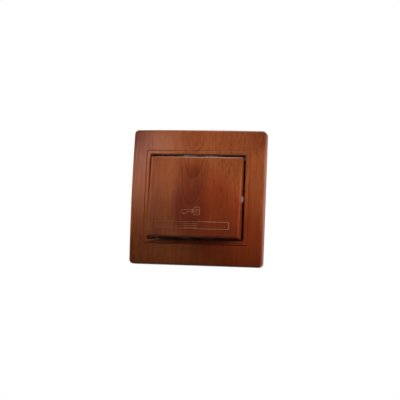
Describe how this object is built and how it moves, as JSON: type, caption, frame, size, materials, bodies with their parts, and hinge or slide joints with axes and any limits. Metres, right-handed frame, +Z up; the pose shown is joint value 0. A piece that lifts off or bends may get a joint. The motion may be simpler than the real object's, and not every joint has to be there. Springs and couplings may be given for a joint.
{
  "type": "pushbutton switch",
  "caption": "Flush wall pushbutton with a square domed wood-effect frame, one large sprung key with a label field, a steel strap with claws and screw terminals.",
  "frame": {"origin": "centre of the wall plane, midway between the box screws, level with the back of the frame's rim and of the strap", "axes": "+X to the right and +Z up as seen by a person facing the wall; +Y points into the wall, so the key faces -Y"},
  "size_m": [0.082, 0.0381, 0.082],
  "materials": {
    "wood_finish": "satin lacquered wood-effect film on moulded plastic",
    "case_plastic": "fine matt moulded",
    "lever_plastic": "smooth moulded",
    "zinc_steel": "zinc plated",
    "screw_steel": "zinc plated",
    "spring_steel": "drawn wire",
    "contact_brass": "pressed",
    "contact_silver": "satin"
  },
  "bodies": {
    "fixed_parts": {"cover_frame": "wood_finish", "inner_bezel": "wood_finish", "support_plate": "zinc_steel", "housing_cover": "case_plastic", "housing_base": "case_plastic", "housing_screws": "screw_steel", "return_spring": "spring_steel", "fixed_contact_tips": "contact_silver", "fixed_contact_left": "contact_brass", "fixed_contact_right": "contact_brass"},
    "key": {"rocker": "wood_finish", "label_cover": "wood_finish", "rocker_cradle": "lever_plastic"},
    "contact_slider": {"plunger": "lever_plastic", "moving_contact": "contact_brass", "moving_contact_tips": "contact_silver", "contact_spring": "spring_steel"},
    "left_claw": {"claw_left": "zinc_steel"},
    "left_claw_screw": {"claw_screw_left": "screw_steel"},
    "left_clamp": {"terminal_clamp_left": "zinc_steel"},
    "left_terminal_screw": {"terminal_screw_left": "screw_steel"},
    "right_claw": {"claw_right": "zinc_steel"},
    "right_claw_screw": {"claw_screw_right": "screw_steel"},
    "right_clamp": {"terminal_clamp_right": "zinc_steel"},
    "right_terminal_screw": {"terminal_screw_right": "screw_steel"}
  },
  "joints": [
    {"name": "key_press", "type": "hinge", "parent": "fixed_parts", "child": "key", "pos_m": [0, -0.0056, -0.0007], "axis": [1, 0, 0], "range_deg": [0, 7], "stiffness_Nm_per_rad": 0.35, "springref_deg": -4.01},
    {"name": "plunger_slide", "type": "slide", "parent": "fixed_parts", "child": "contact_slider", "axis": [0, 1, 0], "range_m": [0, 0.00162], "deforming": ["return_spring"]},
    {"name": "left_claw_screw_turn", "type": "hinge", "parent": "fixed_parts", "child": "left_claw_screw", "pos_m": [-0.0241, 0, 0], "axis": [0, 1, 0], "range_deg": [0, 1152]},
    {"name": "left_claw_swing", "type": "hinge", "parent": "fixed_parts", "child": "left_claw", "pos_m": [-0.0209, 0.0046, 0], "axis": [0, 0, 1], "range_deg": [0, 30]},
    {"name": "left_clamp_slide", "type": "slide", "parent": "fixed_parts", "child": "left_clamp", "axis": [0, -1, 0], "range_m": [0, 0.0016]},
    {"name": "left_terminal_screw_turn", "type": "hinge", "parent": "left_clamp", "child": "left_terminal_screw", "pos_m": [-0.0086, 0.0145, 0.011], "axis": [0, -1, 0], "range_deg": [0, 960]},
    {"name": "right_claw_screw_turn", "type": "hinge", "parent": "fixed_parts", "child": "right_claw_screw", "pos_m": [0.0241, 0, 0], "axis": [0, 1, 0], "range_deg": [0, 1152]},
    {"name": "right_claw_swing", "type": "hinge", "parent": "fixed_parts", "child": "right_claw", "pos_m": [0.0209, 0.0046, 0], "axis": [0, 0, -1], "range_deg": [0, 30]},
    {"name": "right_clamp_slide", "type": "slide", "parent": "fixed_parts", "child": "right_clamp", "axis": [0, -1, 0], "range_m": [0, 0.0016]},
    {"name": "right_terminal_screw_turn", "type": "hinge", "parent": "right_clamp", "child": "right_terminal_screw", "pos_m": [0.0086, 0.0145, 0.011], "axis": [0, -1, 0], "range_deg": [0, 960]}
  ],
  "couplings": [
    {"joint": "plunger_slide", "follows": "key_press", "m_per_rad": 0.013235},
    {"joint": "left_claw_swing", "follows": "left_claw_screw_turn", "ratio": 0.026041},
    {"joint": "left_terminal_screw_turn", "follows": "left_clamp_slide", "rad_per_m": 10472},
    {"joint": "right_claw_swing", "follows": "right_claw_screw_turn", "ratio": 0.026041},
    {"joint": "right_terminal_screw_turn", "follows": "right_clamp_slide", "rad_per_m": 10472}
  ]
}
